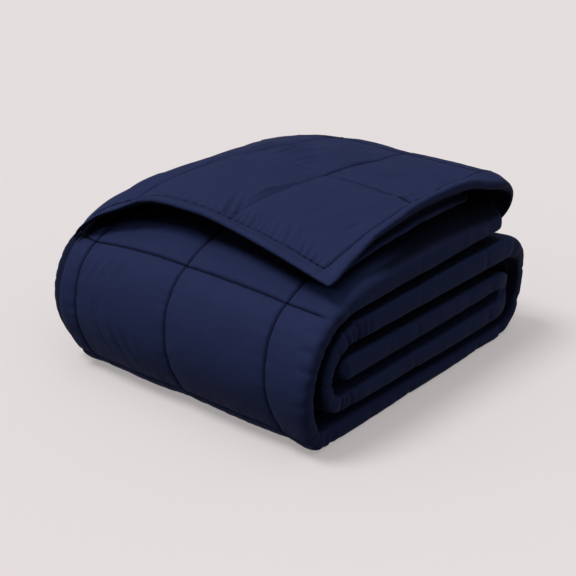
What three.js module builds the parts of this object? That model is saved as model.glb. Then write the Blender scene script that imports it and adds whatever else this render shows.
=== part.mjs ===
// A quilted comforter, folded lengthwise into a narrow strip and then rolled up into a bundle of layers.
// The last layer is turned back over the top as a flap, so that its hem and corner show.
// Millimetres, +Z up. The origin is on the floor under the middle of the bundle. +X runs along the folds
// to the right end, and +Y from the round front to the back.

import * as THREE from 'three';

// Sewing.
const BOX = 137; // from one sewn line to the next
const FLAP_NARROWING = 0.25; // share of a box's width that is drawn in at the back of the flap
const HEM = 24; // from the edge of the cloth to its sewn line
const SEWN_DEPTH = 5.5; // how far a sewn line draws in each face
const BESIDE_LINE = 9; // half width of the valley along a sewn line
const BOX_FULLNESS = 0.4; // 1 for a box rounded like an arch, less for a flatter and fuller one
const SEWN_SHARE = 0.4; // largest share of a sheet's thickness that a sewn line takes
const SHEET_SHARE = 0.6; // largest share of the strip's thickness that a hem's sheet takes
const SLIT_SHARE = 0.33; // the same for the slit beside it
const EDGE_SHARE = 0.6; // share of the strip's thickness that is left at its first and last edge

// The two ends of the bundle. A fold closes the strip's outer sheets on the right and its inner ones on the
// left, and the hem of the sheet left over lies beside it. The first row is the roll, the second the flap.
const END_COLUMNS = 'rightFold rightHem leftHem leftFold rightSheet leftSheet rightSlit leftSlit';
const [ROLL_ENDS, FLAP_ENDS] = table(
  END_COLUMNS,
  [194, 174, -165, -187, 6, 10, 2, 2],
  [177, 190, -165, -173, 16, 7, 10, 2],
);
const LEFT_INSET = 1.7; // how many times as far the left end stops short as the right one
const SLIT_DEPTH = 8; // how far the slit between a hem and a fold runs in past the shorter of the two
const FOLD_ROUND = 14; // how far a folded end takes to round off, along X
const HEM_ROUND = 5; // the same for the edge of a hem
const END_FULLNESS = 0.75; // 1 for an elliptical end, less for a fuller one
const END_DENT = 1.5; // how far a sewn line draws in the folded ends
const ROLL_SQUEEZE = 0.17; // share of a layer's thickness that is lost at the left end
const FLAP_SQUEEZE = 0.5; // the same for the flap
const SAG_POWER = 2; // how late a layer starts to sag on the way to its end
const HEM_SAG_POWER = { left: 4, right: 1.27 }; // the same along the flap's hem
const FLOOR_PRESS = 2; // how far the bottom layer is pressed flat by the floor
const PRESSED_BELOW = 40; // height from which the floor's press starts
const PRESS_RANGE = 20; // height over which it grows
const FLAP_DRIFT = 5; // how far the flap drifts to the left on its way to the hem
const FLAP_SLIDE = 0.5; // how far the flap's hem slides forward where it sags, as a share of the sag

// Mesh steps.
const PART_STEPS = 2; // across a hem or a part of a box
const LONGEST_STEP = 48; // along the strip
const LARGEST_TURN = 0.36; // of the strip's direction in one step, in radians
const HEM_ARC_POINTS = 3;
const FOLD_ARC_POINTS = 5;

// Rows of numbers as objects with named columns.
function table(columns, ...rows) {
  const names = columns.split(' ');
  return rows.map((row) => Object.fromEntries(names.map((name, i) => [name, row[i]])));
}

// The layers in the order of the strip, from its inner end to the hem of the flap, with three stations each.
// y and z place the strip's middle line where the layer is highest, which is at crest along X. left and right
// are how far it sags from there to the two ends, and inset is how far short of the right end it stops.
// sewn holds the places of the sewn lines, as shares of the layer's length.
const COLUMNS = 'y z thick crest left right inset';
const LAYERS = [
  {
    name: 'core',
    sewn: [0.48],
    stations: table(
      COLUMNS,
      [-146, 80, 34, 0, 14, 2, 2],
      [0, 78, 32, 0, 14, 2, 2],
      [138, 76, 28, 0, 13, 2, 2],
    ),
  },
  {
    name: 'second',
    sewn: [0.54],
    stations: table(
      COLUMNS,
      [138, 40, 34, 0, 7, 1, 3],
      [0, 42, 32, 0, 7, 1, 3],
      [-138, 45, 28, 0, 7, 1, 3],
    ),
  },
  {
    name: 'third',
    sewn: [0.38, 0.86],
    stations: table(
      COLUMNS,
      [-112, 119, 33, 0, 22, 4, 0],
      [20, 118, 37, 0, 23, 4, 0],
      [160, 116, 38, 0, 22, 4, 0],
    ),
  },
  {
    name: 'base',
    sewn: [0.1, 0.54],
    stations: table(
      COLUMNS,
      [160, 10, 22, 0, 2, 0, 10],
      [0, 12, 26, 0, 2, 0, 10],
      [-152, 14, 30, 0, 2, 0, 11],
    ),
  },
  {
    name: 'front',
    sewn: [],
    stations: table(
      COLUMNS,
      [-184, 40, 27, 0, 3, 1, 5],
      [-193, 78, 26, 0, 6, 3, 2],
      [-185, 117, 26, 0, 10, 5, 0],
    ),
  },
  {
    name: 'top',
    sewn: [0.37, 0.93],
    stations: table(
      COLUMNS,
      [-100, 164, 39, 0, 26, 8, 0],
      [20, 166, 44, 10, 33, 8, 1],
      [142, 159, 32, 40, 30, 5, 2],
    ),
  },
  {
    name: 'flap',
    sewn: [0.03, 0.46],
    stations: table(
      COLUMNS,
      [147, 199, 26, 0, 36, -4, 0],
      [25, 212, 28, -20, 51, 8, 0],
      [-145, 211, 11, 8, 100, 28, 0],
    ),
  },
];

// The fold between each layer and the next. start and end are how far it reaches past the two layers' ends.
const FOLDS = [
  { name: 'core back', start: 16, end: 16, thick: 26, sewn: [0.5] },
  { name: 'inner front', start: 25, end: 46, thick: 21, sewn: [0.45] },
  { name: 'outer back', start: 50, end: 50, thick: 23, sewn: [0.45] },
  { name: 'floor corner', start: 14, end: 12, thick: 28, sewn: [0.3] },
  { name: 'shoulder', start: 24, end: 34, thick: 28, sewn: [0.42] },
  { name: 'flap back', start: 32, end: 35, thick: 24, sewn: [] },
];

const { lerp, clamp, smoothstep } = THREE.MathUtils;

// The middle line of one layer, through its three stations.
function layerCurve({ stations: [first, middle, last] }) {
  const control = new THREE.Vector2(
    2 * middle.y - (first.y + last.y) / 2,
    2 * middle.z - (first.z + last.z) / 2,
  );
  return new THREE.QuadraticBezierCurve(
    new THREE.Vector2(first.y, first.z),
    control,
    new THREE.Vector2(last.y, last.z),
  );
}

// The middle line of the fold that joins two layers, leaving each in that layer's own direction.
function foldCurve(before, after, fold) {
  const handle = 4 / 3; // a cubic's handles reach a third further than its crown
  const start = before.getPoint(1);
  const end = after.getPoint(0);
  return new THREE.CubicBezierCurve(
    start,
    start.clone().addScaledVector(before.getTangent(1), fold.start * handle),
    end.clone().addScaledVector(after.getTangent(0), -fold.end * handle),
    end,
  );
}

// All the columns of two stations, mixed.
function mixed(from, to, share) {
  return Object.fromEntries(COLUMNS.split(' ').map((name) => [name, lerp(from[name], to[name], share)]));
}

// Sizes at a share t of a layer.
function layerSizes({ stations: [first, middle, last] }, t) {
  return t < 0.5 ? mixed(first, middle, 2 * t) : mixed(middle, last, 2 * t - 1);
}

// Sizes at a share t of a fold, which has its own thickness in its middle.
function foldSizes(before, after, fold, t) {
  const sizes = mixed(before.stations[2], after.stations[0], t);
  const bend = Math.sin(Math.PI * t) ** 2;
  return { ...sizes, thick: lerp(sizes.thick, fold.thick, bend) };
}

// Shares from 0 to 1 that hold every sewn line and the edges of its valley, no step too long or too bent.
function sharesAlong(curve, sewn) {
  const length = curve.getLength();
  const beside = BESIDE_LINE / length;
  const valleys = sewn.flatMap((t) => [t - beside, t, t + beside]).filter((t) => t > 0 && t < 1);
  const stops = [0, ...valleys, 1];
  const shares = [];
  for (let i = 1; i < stops.length; i += 1) {
    const turn = curve.getTangentAt(stops[i - 1]).angleTo(curve.getTangentAt(stops[i]));
    const run = (stops[i] - stops[i - 1]) * length;
    const steps = Math.max(1, Math.ceil(run / LONGEST_STEP), Math.ceil(turn / LARGEST_TURN));
    for (let k = 0; k < steps; k += 1) shares.push(lerp(stops[i - 1], stops[i], k / steps));
  }
  return shares;
}

// The strip's stations from end to end, and the places of its sewn lines along it.
function stripStations() {
  const curves = LAYERS.map(layerCurve);
  const stations = [];
  const sewnAt = [];
  let along = 0;
  const add = (curve, shares, sewn, sizes, flap) => {
    const length = curve.getLength();
    for (const t of shares) {
      const middle = curve.getPointAt(t);
      const tangent = curve.getTangentAt(t);
      stations.push({ ...sizes(t), along: along + t * length, middle, tangent, flap: flap(t) });
    }
    sewnAt.push(...sewn.map((t) => along + t * length));
    along += length;
  };
  LAYERS.forEach((layer, i) => {
    const curve = curves[i];
    const round = HEM_ROUND / curve.getLength();
    const sizes = (t) => layerSizes(layer, t);
    if (layer.name === 'flap') {
      const sewn = [...layer.sewn, 1 - HEM / curve.getLength()];
      add(curve, [...sharesAlong(curve, sewn), 1 - round, 1], sewn, sizes, () => 1);
      return;
    }
    const [first, ...others] = sharesAlong(curve, layer.sewn);
    const start = layer.name === 'core' ? [first, round] : [first];
    add(curve, [...start, ...others], layer.sewn, sizes, () => 0);
    const fold = FOLDS[i];
    const bend = foldCurve(curve, curves[i + 1], fold);
    const toFlap = (t) => (fold.name === 'flap back' ? smoothstep(t, 0, 1) : 0);
    const bendSizes = (t) => foldSizes(layer, LAYERS[i + 1], fold, t);
    add(bend, sharesAlong(bend, fold.sewn), fold.sewn, bendSizes, toFlap);
  });
  return { stations, sewnAt, length: along };
}

// Puff between two sewn lines, from 0 on a line to 1 in the middle of a box.
const boxPuff = (share) => Math.sin(Math.PI * clamp(share, 0, 1)) ** BOX_FULLNESS;

// Puff of the free strip of a hem, from 0 on its sewn line to 1 at its edge.
const hemPuff = (share) => Math.sqrt(clamp(share, 0, 1));

// Puff along the strip: both of its ends are hems.
function puffAlong(along, { sewnAt, length }) {
  const first = sewnAt[0];
  const last = sewnAt[sewnAt.length - 1];
  if (along >= last) return hemPuff((along - last) / (length - last));
  if (along <= first) return hemPuff((first - along) / first);
  const i = sewnAt.findIndex((place) => place > along);
  return boxPuff((along - sewnAt[i - 1]) / (sewnAt[i] - sewnAt[i - 1]));
}

// Columns of points across one face, from its hem to the folded end, each with its puff across the strip and
// how deep a sewn line may go there. Near the two ends that is held to a part of the sheet or fold there.
// box is the distance from one sewn line to the next.
function faceColumns(hemEdge, foldEnd, hemThick, foldThick, box) {
  const way = Math.sign(foldEnd - hemEdge);
  const width = Math.abs(foldEnd - hemEdge) - FOLD_ROUND;
  const beside = BESIDE_LINE / box;
  const boxShares = [0, beside, 1 / 3, 2 / 3, 1 - beside];
  const hemDepth = Math.min(SEWN_DEPTH, SEWN_SHARE * hemThick);
  const foldDepth = Math.min(SEWN_DEPTH, SEWN_SHARE * foldThick);
  const columns = [];
  const add = (from, puff, depth) => columns.push({ x: hemEdge + way * from, puff, depth });
  for (let k = 0; k < PART_STEPS; k += 1) {
    const from = lerp(HEM_ROUND, HEM, k / PART_STEPS);
    add(from, hemPuff((HEM - from) / HEM), hemDepth);
  }
  for (const [before, nearDepth, farDepth] of [[0, hemDepth, SEWN_DEPTH], [1, SEWN_DEPTH, foldDepth]]) {
    for (const share of boxShares) {
      add(HEM + (before + share) * box, boxPuff(share), share > beside ? farDepth : nearDepth);
    }
  }
  const line = HEM + 2 * box;
  const rest = width - line;
  const near = Math.min(BESIDE_LINE, rest / 3);
  for (const from of [0, near, (near + rest) / 2, rest]) {
    add(line + from, boxPuff(from / box), foldDepth);
  }
  return columns;
}

// Points round an edge at x, from one height to another, without the two ends.
function edgeArc(edge, way, reach, from, to, points) {
  return Array.from({ length: points }, (_, k) => {
    const angle = (Math.PI * (k + 1)) / (points + 1);
    const across = Math.sin(angle) ** END_FULLNESS;
    const rise = Math.sign(Math.cos(angle)) * Math.abs(Math.cos(angle)) ** END_FULLNESS;
    return { x: edge - way * reach * (1 - across), w: lerp(from, to, (1 - rise) / 2) };
  });
}

// How far a station of the flap is on the way from the back to the hem, from 0 to 1.
function hemShare({ middle }) {
  const [back, , hem] = LAYERS[LAYERS.length - 1].stations;
  return clamp((middle.x - back.y) / (hem.y - back.y), 0, 1);
}

// The strip's closed outline across one station: x along the bundle and w out from the strip's middle line.
// Its parts are the two faces and the two ends between them.
function outline(station, strip) {
  const ends = Object.fromEntries(
    Object.keys(ROLL_ENDS).map((name) => [name, lerp(ROLL_ENDS[name], FLAP_ENDS[name], station.flap)]),
  );
  const toEnd = Math.min(station.along, strip.length - station.along);
  const nearEnd = smoothstep(toEnd, 0, HEM_ROUND);
  const half = (station.thick / 2) * lerp(EDGE_SHARE, 1, nearEnd);
  const ripple = puffAlong(station.along, strip);
  const dent = END_DENT * (1 - ripple);
  const rightFold = ends.rightFold - station.inset;
  const rightHem = ends.rightHem - station.inset;
  const leftFold = ends.leftFold + LEFT_INSET * station.inset;
  const leftHem = ends.leftHem + LEFT_INSET * station.inset;
  const leftSheet = Math.min(ends.leftSheet, half);
  const rightSheet = Math.min(ends.rightSheet, SHEET_SHARE * 2 * half);
  const leftSplit = half - leftSheet;
  const rightSplit = rightSheet - half;
  const sunk = (depth, puff) => Math.min(depth, half / 2) * (1 - puff * ripple);
  const face = (columns, side) =>
    columns.map(({ x, puff, depth }) => ({ x, w: side * (half - sunk(depth, puff)) }));
  const box = BOX * (1 - FLAP_NARROWING * station.flap * (1 - hemShare(station)));
  const outer = face(faceColumns(leftHem, rightFold, leftSheet, 2 * half - rightSheet, box), 1);
  const inner = face(faceColumns(rightHem, leftFold, rightSheet, 2 * half - leftSheet, box), -1);
  const leftSlit = Math.min(ends.leftSlit, SLIT_SHARE * 2 * half) / 2;
  const rightSlit = Math.min(ends.rightSlit, SLIT_SHARE * 2 * half) / 2;
  const slitDepth = lerp(1, SLIT_DEPTH, nearEnd);
  const outerEnd = outer[outer.length - 1];
  const innerEnd = inner[inner.length - 1];
  const left = [
    ...edgeArc(leftHem, -1, HEM_ROUND, outer[0].w, leftSplit + leftSlit, HEM_ARC_POINTS),
    { x: Math.max(leftFold, leftHem) + slitDepth, w: leftSplit },
    ...edgeArc(leftFold + dent, -1, FOLD_ROUND - dent, leftSplit - leftSlit, innerEnd.w, FOLD_ARC_POINTS),
  ];
  const right = [
    ...edgeArc(rightHem, 1, HEM_ROUND, inner[0].w, rightSplit - rightSlit, HEM_ARC_POINTS),
    { x: Math.min(rightFold, rightHem) - slitDepth, w: rightSplit },
    ...edgeArc(rightFold - dent, 1, FOLD_ROUND - dent, rightSplit + rightSlit, outerEnd.w, FOLD_ARC_POINTS),
  ];
  return { outer, left, inner, right };
}

// The outline's points in order round the strip.
function ringOf({ outer, left, inner, right }) {
  return [...outer.toReversed(), ...left, ...inner.toReversed(), ...right];
}

// A point of the outline in space. The layer sags from its crest towards both ends and is thinner there.
function place({ x, w }, station) {
  const { middle, tangent, crest } = station;
  const side = x < crest ? 'left' : 'right';
  const toHem = station.flap * hemShare(station);
  const power = lerp(SAG_POWER, HEM_SAG_POWER[side], toHem ** 2);
  const share = (x - crest) / (ROLL_ENDS[`${side}Fold`] - crest);
  const sag = share ** power;
  const squeeze = side === 'left' ? lerp(ROLL_SQUEEZE, FLAP_SQUEEZE, station.flap) : 0;
  const out = w * (1 - squeeze * share ** SAG_POWER);
  const drop = sag * station[side];
  const press = FLOOR_PRESS * smoothstep(PRESSED_BELOW - middle.y, 0, PRESS_RANGE);
  const y = middle.x - tangent.y * out - FLAP_SLIDE * drop * toHem ** 2;
  const z = middle.y + tangent.x * out - drop - press;
  return new THREE.Vector3(x - FLAP_DRIFT * toHem, y, Math.max(0, z));
}

// Triangles that close one outline, as numbers of its ring's points. Strips from face to face follow the sag
// of the cloth, and each rounded end with its slit is closed as one cell.
function capFaces(parts) {
  const ring = ringOf(parts);
  const number = new Map(ring.map((point, k) => [point, k]));
  const low = Math.max(...parts.left.map(({ x }) => x));
  const high = Math.min(...parts.right.map(({ x }) => x));
  const between = (face) => face.filter(({ x }) => x > low && x < high).sort((p, q) => p.x - q.x);
  const outer = between(parts.outer);
  const inner = between(parts.inner);
  const triangles = [];
  let i = 0;
  let j = 0;
  while (i + 1 < outer.length || j + 1 < inner.length) {
    const outerNext = j + 1 >= inner.length || (i + 1 < outer.length && outer[i + 1].x < inner[j + 1].x);
    triangles.push(outerNext ? [outer[i], inner[j], outer[i + 1]] : [outer[i], inner[j], inner[j + 1]]);
    if (outerNext) i += 1;
    else j += 1;
  }
  const cell = (from, to) => {
    const count = (number.get(to) - number.get(from) + ring.length) % ring.length;
    const first = number.get(from);
    const corners = Array.from({ length: count + 1 }, (_, k) => ring[(first + k) % ring.length]);
    const flat = corners.map(({ x, w }) => new THREE.Vector2(x, w));
    return THREE.ShapeUtils.triangulateShape(flat, []).map((three) => three.map((k) => corners[k]));
  };
  triangles.push(...cell(outer[0], inner[0]), ...cell(inner[inner.length - 1], outer[outer.length - 1]));
  return triangles.map((three) => three.map((point) => number.get(point)));
}

// The strip as one closed mesh: rings of points along it, and a cap on each end.
function comforterGeometry() {
  const strip = stripStations();
  const outlines = strip.stations.map((station) => outline(station, strip));
  const rings = outlines.map(ringOf);
  const around = rings[0].length;
  const points = rings.flatMap((ring, i) => ring.map((corner) => place(corner, strip.stations[i])));
  const faces = [];
  for (let i = 0; i + 1 < rings.length; i += 1) {
    for (let k = 0; k < around; k += 1) {
      const a = i * around + k;
      const b = i * around + ((k + 1) % around);
      faces.push([a, a + around, b], [b, a + around, b + around]);
    }
  }
  const last = around * (rings.length - 1);
  faces.push(...capFaces(outlines[0]));
  faces.push(...capFaces(outlines[rings.length - 1]).map(([a, b, c]) => [last + a, last + c, last + b]));
  const geometry = new THREE.BufferGeometry().setFromPoints(points);
  geometry.setIndex(faces.flat());
  return geometry;
}

// Moves a geometry so that the origin is on the floor under the middle of its box.
function standOnOrigin(geometry) {
  geometry.computeBoundingBox();
  const middle = geometry.boundingBox.getCenter(new THREE.Vector3());
  geometry.translate(-middle.x, -middle.y, -geometry.boundingBox.min.z);
  geometry.computeVertexNormals();
  return geometry;
}

const cloth = new THREE.MeshStandardMaterial({ color: 0x252d50, roughness: 0.62, metalness: 0 });
const comforter = new THREE.Mesh(standOnOrigin(comforterGeometry()), cloth);
comforter.name = 'comforter';

const bundle = new THREE.Group();
bundle.name = 'folded_comforter';
bundle.add(comforter);

export default bundle;
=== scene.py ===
"""Looks of the folded comforter: its quilted cloth, the thread of its lines, the floor, light and camera."""

import math
from types import SimpleNamespace

import bpy
import numpy as np
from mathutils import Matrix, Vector
from mathutils.geometry import tessellate_polygon


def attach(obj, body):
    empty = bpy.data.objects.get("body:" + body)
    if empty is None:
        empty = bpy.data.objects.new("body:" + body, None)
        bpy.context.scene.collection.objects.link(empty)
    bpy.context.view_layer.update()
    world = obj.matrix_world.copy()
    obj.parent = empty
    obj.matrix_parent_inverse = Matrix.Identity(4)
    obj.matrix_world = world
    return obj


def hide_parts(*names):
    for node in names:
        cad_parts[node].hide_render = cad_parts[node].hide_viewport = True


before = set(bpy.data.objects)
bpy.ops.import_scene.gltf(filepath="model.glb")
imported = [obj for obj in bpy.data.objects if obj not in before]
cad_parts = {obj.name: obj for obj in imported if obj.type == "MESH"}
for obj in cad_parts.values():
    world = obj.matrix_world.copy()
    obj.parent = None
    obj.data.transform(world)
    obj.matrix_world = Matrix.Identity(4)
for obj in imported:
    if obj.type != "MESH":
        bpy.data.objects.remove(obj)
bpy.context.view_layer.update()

MM = 0.001

# Sewing, in millimetres like all sizes of the cloth.
BOX = 137  # from one sewn line to the next
FLAP_NARROWING = 0.25  # share of a box's width drawn in at the flap's back
HEM = 24  # from the cloth's edge to its sewn line
SEWN_DEPTH = 5.5  # how far a sewn line draws in each face
BOX_FULLNESS = 0.4  # 1 for a box like an arch, less for a fuller one
SEWN_SHARE = 0.4  # most of a sheet's thickness that a sewn line takes
SHEET_SHARE = 0.6  # most of the strip's thickness that a hem's sheet takes
SLIT_SHARE = 0.33  # the same for the slit beside it
EDGE_SHARE = 0.12  # share of the thickness left at the first and last edge
EDGE_ROUND = 9
SUNK_SHARE = 0.5  # most of half the thickness that the lines draw in
HEM_SUNK_SHARE = 0.78  # the same at the flap's hem
HEM_SUNK_BLEND = 40
HEM_LINE_SHARE = 0.1  # share of a line's depth left across the flap's hems
HEM_PLUMP = 0.62  # thickness of the flap's hem against the sheet
HEM_BLEND = 6
HEM_EDGE_ROUND = 5
FLAP_HEM = 18  # width of the flap's front hem
HEM_DROP = 3.5  # how much lower that hem's sewn line lies
HEM_DROP_REACH = 65
ENDS_FADE = 60  # from a folded end to lines of full depth
ENDS_SHARE = 0.15  # share of the depth at the end
BACK_SHARE = 0.15  # the same round the flap's back
BACK_BLEND = 40
CORNER_ROUND = {"left": 23, "right": 4}  # of the flap

# The two ends of the bundle, on the roll and on the flap.
END_NAMES = "right_fold right_hem left_hem left_fold right_sheet left_sheet right_slit left_slit".split()
ROLL_ENDS = dict(zip(END_NAMES, (194, 174, -165, -187, 6, 10, 2, 2)))
FLAP_ENDS = dict(zip(END_NAMES, (177, 190, -165, -173, 16, 7, 10, 2)))
LEFT_INSET = 1.7  # a layer's inset at the left against the right
SLIT_DEPTH = 8
FOLD_ROUND = 14
HEM_ROUND = 5
END_FULLNESS = 0.75  # 1 for a round end, less for a flatter one
INNER_FULLNESS = 0.5
END_DENT = 0.5
ROLL_SQUEEZE = 0.17  # how much thinner the left end is
FLAP_SQUEEZE = 0.5
RIGHT_POWER = 4  # how late the right ends' own places set in
SAG_POWER = 2
HEM_SAG_POWER = {"left": 4, "right": 1.27}
FLAP_DRIFT = 5  # how far to the left the flap's hem lies
FLAP_SLIDE = 0.5  # how far its ends lie to the front, as a share of their sag

# Departures from the plain form. A pair called reach says where one sets in and how far on it is full.
FLOOR_PRESS = 2
PRESSED_REACH = (40, -20)  # in z
LEFT_LIFT = 8.5  # how much fuller the roll's shoulder is at the left end
LIFT_REACH = (-135, -45)
LIFT_BLENDS = (50, 120)  # along the strip, at the front and at the back
HEM_LEFT_DROP = 8  # how much lower the flap's hem lies towards its left end
HEM_LEFT_AT = -112
HEM_LEFT_WIDE = 30
HEM_LEFT_REACH = 60
TIP_DROP = 4  # the same at its very tip
TIP_REACH = (-156, -14)
FLAP_LEFT_REACH = (-85, -50)
FLAP_END_REACH = (-135, -50)

# The flap's heights there: place along the strip, rise of its left part, and what its very end adds.
FLAP_LEFT_RISES = (
    (2040, 0, 0), (2100, -3, 0), (2160, -4.5, 0), (2190, -3.5, 0), (2215, 0, 2), (2240, 3.5, 6),
    (2265, 6, 11), (2295, 7.5, 13), (2322, -2, -5),
)

# The layers from the strip's inner end to the hem of the flap: sewn lines as shares of the layer's length,
# and three stations with y and z of its middle line, thickness, crest, left and right sag, and inset.
SIZE_NAMES = ("thick", "crest", "left", "right", "inset")
LAYERS = (
    ("core", [0.48], [(-146, 80, 34, 0, 14, 2, 2), (0, 78, 32, 0, 14, 2, 2), (138, 76, 28, 0, 13, 2, 2)]),
    ("second", [0.54], [(138, 40, 34, 0, 7, 1, 3), (0, 42, 32, 0, 7, 1, 3), (-138, 45, 28, 0, 7, 1, 3)]),
    ("third", [0.38, 0.86],
     [(-112, 119, 33, 0, 22, 4, 0), (20, 118, 37, 0, 23, 4, 0), (160, 116, 38, 0, 22, 4, 0)]),
    ("base", [0.1, 0.54],
     [(160, 10, 22, 0, 2, 0, 10), (0, 12, 26, 0, 2, 0, 10), (-152, 14, 30, 0, 2, 0, 11)]),
    ("front", [], [(-184, 40, 27, 0, 3, 1, 5), (-193, 78, 26, 0, 6, 3, 2), (-185, 117, 26, 0, 10, 5, 0)]),
    ("top", [0.37, 0.93],
     [(-100, 164, 39, 0, 26, 8, 0), (20, 166, 44, 10, 33, 8, 1), (142, 159, 32, 40, 30, 5, 2)]),
    ("flap", [0.03, 0.46],
     [(147, 199, 26, 0, 36, -4, 0), (25, 212, 28, -20, 51, 8, 0), (-145, 211, 11, 8, 100, 28, 0)]),
)
FLAP_BACK_Y = 147
FLAP_HEM_Y = -145

# The fold after each layer: its reach past the two layers' ends, its thickness and its sewn lines.
FOLDS = (
    ("core back", 16, 16, 26, [0.5]),
    ("inner front", 25, 46, 21, [0.45]),
    ("outer back", 50, 50, 23, [0.45]),
    ("floor corner", 14, 12, 28, [0.66]),
    ("shoulder", 24, 34, 28, [0.42]),
    ("flap back", 32, 35, 24, []),
)
HANDLE = 4 / 3  # a cubic's handles reach a third further than its crown
CURVE_SAMPLES = 400
SOFTENED = 10  # reach over which sizes are evened out
SOFTENED_END = 3 * SOFTENED

# Where the middle of the bundle's box is in the strip's own x and y.
ORIGIN_X = 3.31
ORIGIN_Y = 6.64

# Steps of the mesh: along the strip for each part of it, and columns across each face in three finenesses.
STEPS = {
    "core": 5, "core back": 4, "second": 5, "inner front": 3.5, "third": 5, "outer back": 3.6,
    "base": 6, "floor corner": 2.8, "front": 2.8, "shoulder": 2.6, "top": 4, "flap back": 3.4,
    "flap": 2.7,
}
OUTER_FINENESS = {
    "outer back": "middle", "floor corner": "fine", "front": "fine", "shoulder": "fine", "top": "fine",
}
INNER_FINENESS = {"flap back": "middle", "flap": "fine"}
FINE_TOP_Y = -60  # the top layer is fine only in front of this
COLUMN_COUNTS = {"fine": (12, 76, 20), "middle": (8, 36, 10), "plain": (3, 7, 4)}  # hem, box, rest
COLUMN_CROWDING = 0.25  # how much closer they stand beside a sewn line
BESIDE_LINE = (0, 0.8, 1.8, 3.2, 5.2)  # steps on both sides of a sewn line
BESIDE_EDGE = (0, 0.4, 1.2, 2.4, 4, 6)
LEAST_STEP = 0.3  # between two places that have to be kept
CLEAR_STEP = 1.4  # from such a place to any other
ARC_POINTS = {"right_hem": 6, "right_fold": 14, "left_hem": 4, "left_fold": 8}

NOISE_CELLS = 64
rng = np.random.default_rng(41)
scene = bpy.context.scene


def smooth(share):
    """Smooth step from 0 to 1."""
    share = np.clip(share, 0.0, 1.0)
    return share * share * (3 - 2 * share)


def ramp(value, start, reach):
    """Share that goes from 0 at a start to 1, downwards if the reach is below 0."""
    return smooth((value - start) / reach)


def window(value, start, start_blend, stop, stop_blend):
    """Share that goes up to 1 from a start on, and back to 0 at a stop."""
    return ramp(value, start, start_blend) * ramp(value, stop, -stop_blend)


def mix(a, b, share):
    return a + (b - a) * share


def unit(vector):
    return vector / np.linalg.norm(vector)


def lengths(points):
    """How far along a row of points each of them is."""
    return np.concatenate([[0.0], np.cumsum(np.linalg.norm(np.diff(points, axis=0), axis=1))])


def curve_points(controls):
    """Points about a millimetre apart along a Bezier curve, and its length."""
    degree = len(controls) - 1
    t = np.linspace(0, 1, CURVE_SAMPLES)
    weights = [math.comb(degree, k) * t**k * (1 - t) ** (degree - k) for k in range(degree + 1)]
    points = sum(w[:, None] * np.asarray(c, float) for w, c in zip(weights, controls))
    reached = lengths(points)
    even = np.linspace(0, reached[-1], round(reached[-1]) + 1)
    return np.column_stack([np.interp(even, reached, points[:, k]) for k in (0, 1)]), reached[-1]


def layer_controls(stations):
    first, middle, last = (np.array(row[:2], float) for row in stations)
    return first, 2 * middle - (first + last) / 2, last


def fold_controls(before, after, start, end):
    """Controls of a fold from the end of one layer to the start of the next."""
    leave, arrive = unit(before[2] - before[1]), unit(after[1] - after[0])
    return before[2], before[2] + leave * start * HANDLE, after[0] - arrive * end * HANDLE, after[0]


def softened(values):
    """Values evened out over a reach along the strip."""
    offsets = np.arange(-SOFTENED_END, SOFTENED_END + 1)
    kernel = np.exp(-0.5 * (offsets / SOFTENED) ** 2)
    return np.convolve(np.pad(values, SOFTENED_END, mode="edge"), kernel / kernel.sum(), mode="valid")


def make_strip():
    """The strip from end to end: rows a millimetre apart, the span of each part, sewn lines and length."""
    columns, spans, sewn_at = {}, {}, []
    reached = 0.0

    def add(name, controls, shares, sizes, thick, sewn):
        nonlocal reached
        points, length = curve_points(controls)
        share = np.linspace(0, 1, len(points))
        rows = {key: np.interp(share, shares, column) for key, column in zip(SIZE_NAMES, zip(*sizes))}
        if thick:
            rows["thick"] = mix(rows["thick"], thick, np.sin(np.pi * share) ** 2)
        flap = {"flap back": smooth(share), "flap": np.ones_like(share)}.get(name, np.zeros_like(share))
        rows.update(along=reached + share * length, y=points[:, 0], z=points[:, 1], flap=flap)
        for key, values in rows.items():
            columns.setdefault(key, []).append(values if name == "flap" else values[:-1])
        spans[name] = (reached, reached + length)
        sewn_at.extend(reached + at * length for at in sewn)
        reached += length

    for i, (name, sewn, stations) in enumerate(LAYERS):
        controls = layer_controls(stations)
        sizes = [row[2:] for row in stations]
        add(name, controls, (0, 0.5, 1), sizes, None, sewn)
        if name != "flap":
            fold_name, start, end, thick, fold_sewn = FOLDS[i]
            after = LAYERS[i + 1][2]
            turn = fold_controls(controls, layer_controls(after), start, end)
            add(fold_name, turn, (0, 1), (sizes[2], after[0][2:]), thick, fold_sewn)
    sewn_at.append(reached - FLAP_HEM)
    table = {key: np.concatenate(values) for key, values in columns.items()}
    for key in SIZE_NAMES:
        table[key] = softened(table[key])
    table["ty"] = np.gradient(table["y"], table["along"])
    table["tz"] = np.gradient(table["z"], table["along"])
    return table, spans, np.array(sorted(sewn_at)), reached


STRIP, SPANS, SEWN_AT, LENGTH = make_strip()
RISE_PLACES, LEFT_RISES, END_RISES = zip(*FLAP_LEFT_RISES)
STRIP["left_rise"] = softened(np.interp(STRIP["along"], RISE_PLACES, LEFT_RISES))
STRIP["end_rise"] = softened(np.interp(STRIP["along"], RISE_PLACES, END_RISES))

# How a layer lies at its right end: how much higher than the plain form, and how much thinner.
RIGHT_ENDS = {
    "core": (4, 0), "second": (8, 0.14), "third": (5.2, 0.1), "base": (1.9, -0.15),
    "front": (0, 0.05), "top": (0, 0.16), "flap": (0, 0),
}
RIGHT_PLACES = [place for name in RIGHT_ENDS for place in SPANS[name]]
RIGHT_LIFTS, RIGHT_SQUEEZES = zip(*(row for row in RIGHT_ENDS.values() for _ in range(2)))
CORE_FRONT_BACK = 8  # how far back the core's first edge lies there
CORE_FRONT_REACH = 45
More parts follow.
